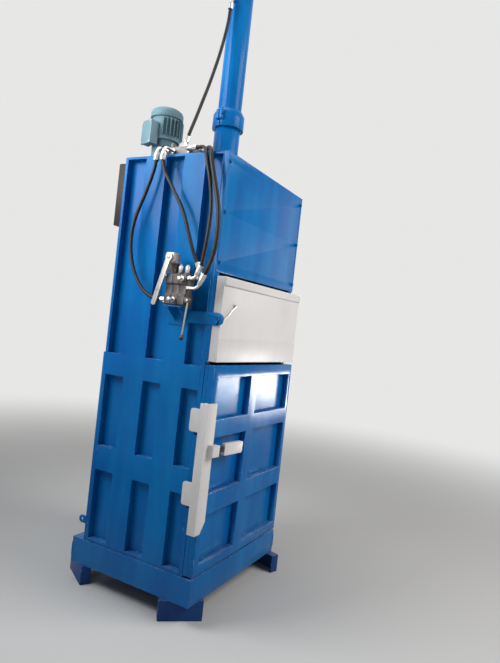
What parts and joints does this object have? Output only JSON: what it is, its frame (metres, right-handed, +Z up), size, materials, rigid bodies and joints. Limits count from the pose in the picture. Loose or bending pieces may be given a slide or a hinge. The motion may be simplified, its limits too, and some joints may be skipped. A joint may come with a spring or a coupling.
{
  "type": "recycling baler",
  "caption": "Upright hydraulic baler with a ribbed press body, bale door, feed door, sliding latch, top cylinder and motor.",
  "frame": {"origin": "centre of the base skirt, on the floor", "axes": "+Z up, -Y towards the front with the doors, +X to the right as seen from the front"},
  "size_m": [1.1999, 1.0296, 3.804],
  "materials": {
    "blue_enamel": "gloss",
    "dark_blue_enamel": "gloss",
    "white_enamel": "gloss",
    "bright_steel": "satin",
    "bronze": "satin",
    "hard_chrome": "polished",
    "black_rubber": "matte",
    "black_plastic": "satin",
    "dark_enamel": "satin",
    "cast_iron": "matte",
    "motor_enamel": "satin",
    "brown_enamel": "satin"
  },
  "bodies": {
    "frame": {"base_rails": "blue_enamel", "feet": "dark_blue_enamel", "floor_slats": "blue_enamel", "corner_posts": "blue_enamel", "side_wall_left": "blue_enamel", "side_wall_right": "blue_enamel", "side_liners": "blue_enamel", "back_liner": "blue_enamel", "back_ribs": "blue_enamel", "rear_lugs": "blue_enamel", "front_cover": "blue_enamel", "cover_bolts": "blue_enamel", "feed_jambs": "blue_enamel", "head_beams": "blue_enamel", "top_plate": "blue_enamel", "cylinder_mount": "blue_enamel", "mount_bolts": "bright_steel", "cylinder_barrel": "blue_enamel", "cylinder_gland": "bronze", "clamp_collar": "blue_enamel", "oil_tank": "brown_enamel", "tank_lid": "brown_enamel", "filler_cap": "black_plastic", "motor_bell": "motor_enamel", "motor_stator": "motor_enamel", "fan_cover": "motor_enamel", "terminal_box": "motor_enamel", "pump": "cast_iron", "manifold": "cast_iron", "pipe_fittings": "bright_steel", "valve_bracket": "blue_enamel", "valve_body": "cast_iron", "valve_caps": "bright_steel", "catch_arm": "blue_enamel", "hose_a": "black_rubber", "hose_b": "black_rubber", "hose_c": "black_rubber", "hose_d": "black_rubber", "hose_e": "black_rubber", "hinge_brackets": "blue_enamel", "hinge_pins": "bright_steel", "latch_keepers": "blue_enamel"},
    "bale_door": {"bale_door_ribs": "blue_enamel", "bale_door_skin": "blue_enamel", "bale_door_slats": "blue_enamel", "bale_door_knuckles": "blue_enamel", "latch_guides": "blue_enamel"},
    "latch": {"latch_bar": "white_enamel", "latch_stem": "dark_enamel", "latch_grip": "white_enamel"},
    "feed_door": {"feed_door_pan": "white_enamel", "feed_door_stiffeners": "white_enamel", "feed_door_knuckles": "white_enamel", "door_hook": "bright_steel"},
    "platen": {"platen_bars": "blue_enamel", "platen_frame": "blue_enamel", "piston_rod": "hard_chrome"},
    "spool_lever": {"spool_lever": "bright_steel", "lever_knob": "black_plastic"},
    "side_lever": {"side_lever": "bright_steel"}
  },
  "joints": [
    {"name": "bale_door_hinge", "type": "hinge", "parent": "frame", "child": "bale_door", "pos_m": [0.51, -0.404, 0.8], "axis": [0, 0, 1], "range_deg": [0, 115]},
    {"name": "latch_slide", "type": "slide", "parent": "bale_door", "child": "latch", "axis": [0, 0, 1], "range_m": [-0.07, 0]},
    {"name": "feed_door_hinge", "type": "hinge", "parent": "frame", "child": "feed_door", "pos_m": [0.51, -0.404, 1.65], "axis": [0, 0, 1], "range_deg": [0, 115]},
    {"name": "platen_slide", "type": "slide", "parent": "frame", "child": "platen", "axis": [0, 0, -1], "range_m": [0, 1]},
    {"name": "spool_lever_pivot", "type": "hinge", "parent": "frame", "child": "spool_lever", "pos_m": [-0.588, -0.28, 1.726], "axis": [1, 0, 0], "range_deg": [-15, 15], "stiffness_Nm_per_rad": 3},
    {"name": "side_lever_pivot", "type": "hinge", "parent": "frame", "child": "side_lever", "pos_m": [-0.616, -0.1476, 1.946], "axis": [1, 0, 0], "range_deg": [-18, 18]}
  ]
}
